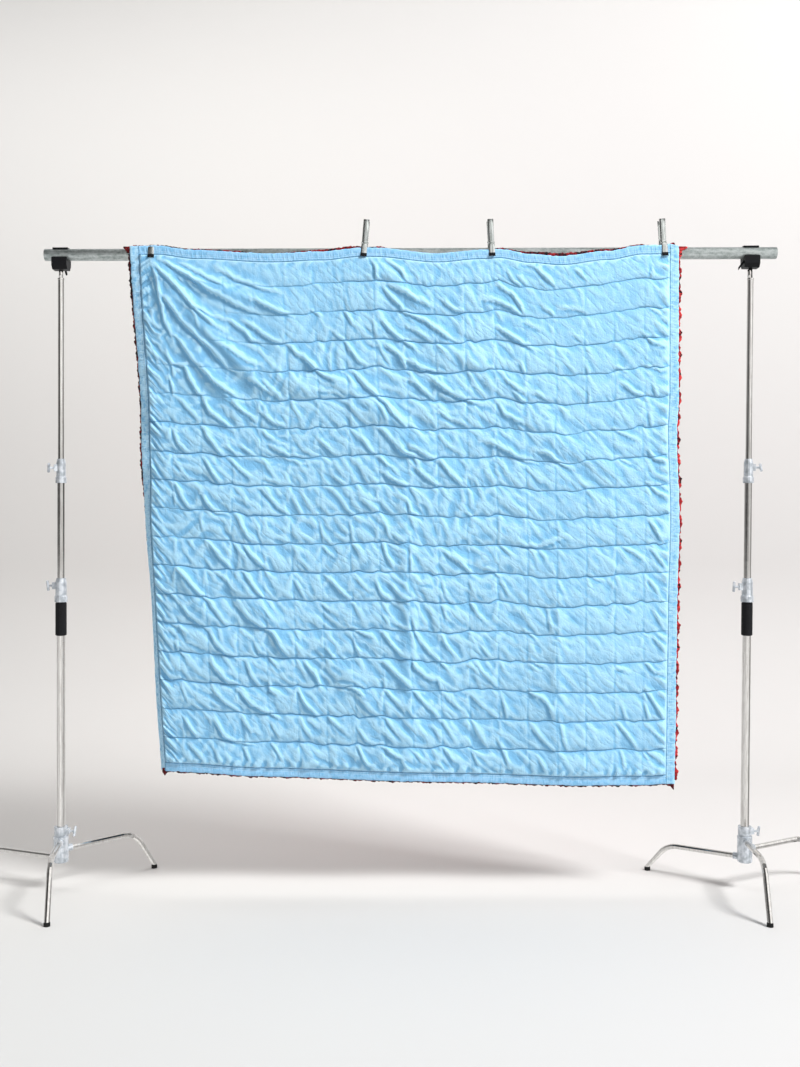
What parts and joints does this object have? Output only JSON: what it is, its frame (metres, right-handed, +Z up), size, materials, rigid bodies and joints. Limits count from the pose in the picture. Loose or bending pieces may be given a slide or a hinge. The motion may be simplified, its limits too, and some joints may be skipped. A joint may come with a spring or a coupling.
{
  "type": "quilt clamped to a pipe between two stands",
  "caption": "Square quilted blue bedcover with a flat border and a red ruffle edge, hung by spring clamps from a steel pipe that folding-leg stands carry.",
  "frame": {"origin": "on the floor under the middle of the whole object's box", "axes": "+X to the right along the rail as seen from the quilt's blue side, +Y away from that side, +Z up"},
  "size_m": [3.6122, 0.7182, 2.7464],
  "materials": {
    "blue_cotton": "soft woven cotton, quilted, matt; the far side plain red",
    "border_cotton": "soft woven cotton band, finely gathered, matt",
    "ruffle_cotton": "gathered red cotton with black flecks, matt",
    "galvanised_steel": "dull zinc coating, slightly streaked",
    "spring_steel": "bright zinc plate, lightly scratched",
    "chrome_tube": "polished chrome plate",
    "cast_aluminium": "die-cast, satin",
    "black_metal": "black powder coat, fine texture",
    "black_grip": "matt black sleeve",
    "black_rubber": "matt rubber foot"
  },
  "bodies": {
    "root": {"border_bottom": "border_cotton", "border_left": "border_cotton", "border_right": "border_cotton", "border_top": "border_cotton", "clamp_1_back_half": "spring_steel", "clamp_1_front_half": "spring_steel", "clamp_1_spring": "spring_steel", "clamp_2_back_half": "spring_steel", "clamp_2_front_half": "spring_steel", "clamp_2_spring": "spring_steel", "clamp_3_back_half": "spring_steel", "clamp_3_front_half": "spring_steel", "clamp_3_spring": "spring_steel", "clamp_4_back_half": "spring_steel", "clamp_4_front_half": "spring_steel", "clamp_4_spring": "spring_steel", "left_base_handle": "cast_aluminium", "left_column": "chrome_tube", "left_foot_inner": "black_rubber", "left_foot_near": "black_rubber", "left_foot_outer": "black_rubber", "left_head_clamp": "black_metal", "left_head_lever": "black_metal", "left_hub": "cast_aluminium", "left_leg_inner": "chrome_tube", "left_leg_near": "chrome_tube", "left_leg_outer": "chrome_tube", "left_lower_collar": "cast_aluminium", "left_lower_handle": "cast_aluminium", "left_middle_riser": "chrome_tube", "left_sleeve": "black_grip", "left_top_riser": "chrome_tube", "left_upper_collar": "cast_aluminium", "left_upper_handle": "cast_aluminium", "quilt_panel": "blue_cotton", "rail_pipe": "galvanised_steel", "right_base_handle": "cast_aluminium", "right_column": "chrome_tube", "right_foot_inner": "black_rubber", "right_foot_near": "black_rubber", "right_foot_outer": "black_rubber", "right_head_clamp": "black_metal", "right_head_lever": "black_metal", "right_hub": "cast_aluminium", "right_leg_inner": "chrome_tube", "right_leg_near": "chrome_tube", "right_leg_outer": "chrome_tube", "right_lower_collar": "cast_aluminium", "right_lower_handle": "cast_aluminium", "right_middle_riser": "chrome_tube", "right_sleeve": "black_grip", "right_top_riser": "chrome_tube", "right_upper_collar": "cast_aluminium", "right_upper_handle": "cast_aluminium", "ruffle_bottom": "ruffle_cotton", "ruffle_left": "ruffle_cotton", "ruffle_right": "ruffle_cotton", "ruffle_top": "ruffle_cotton"}
  },
  "joints": []
}
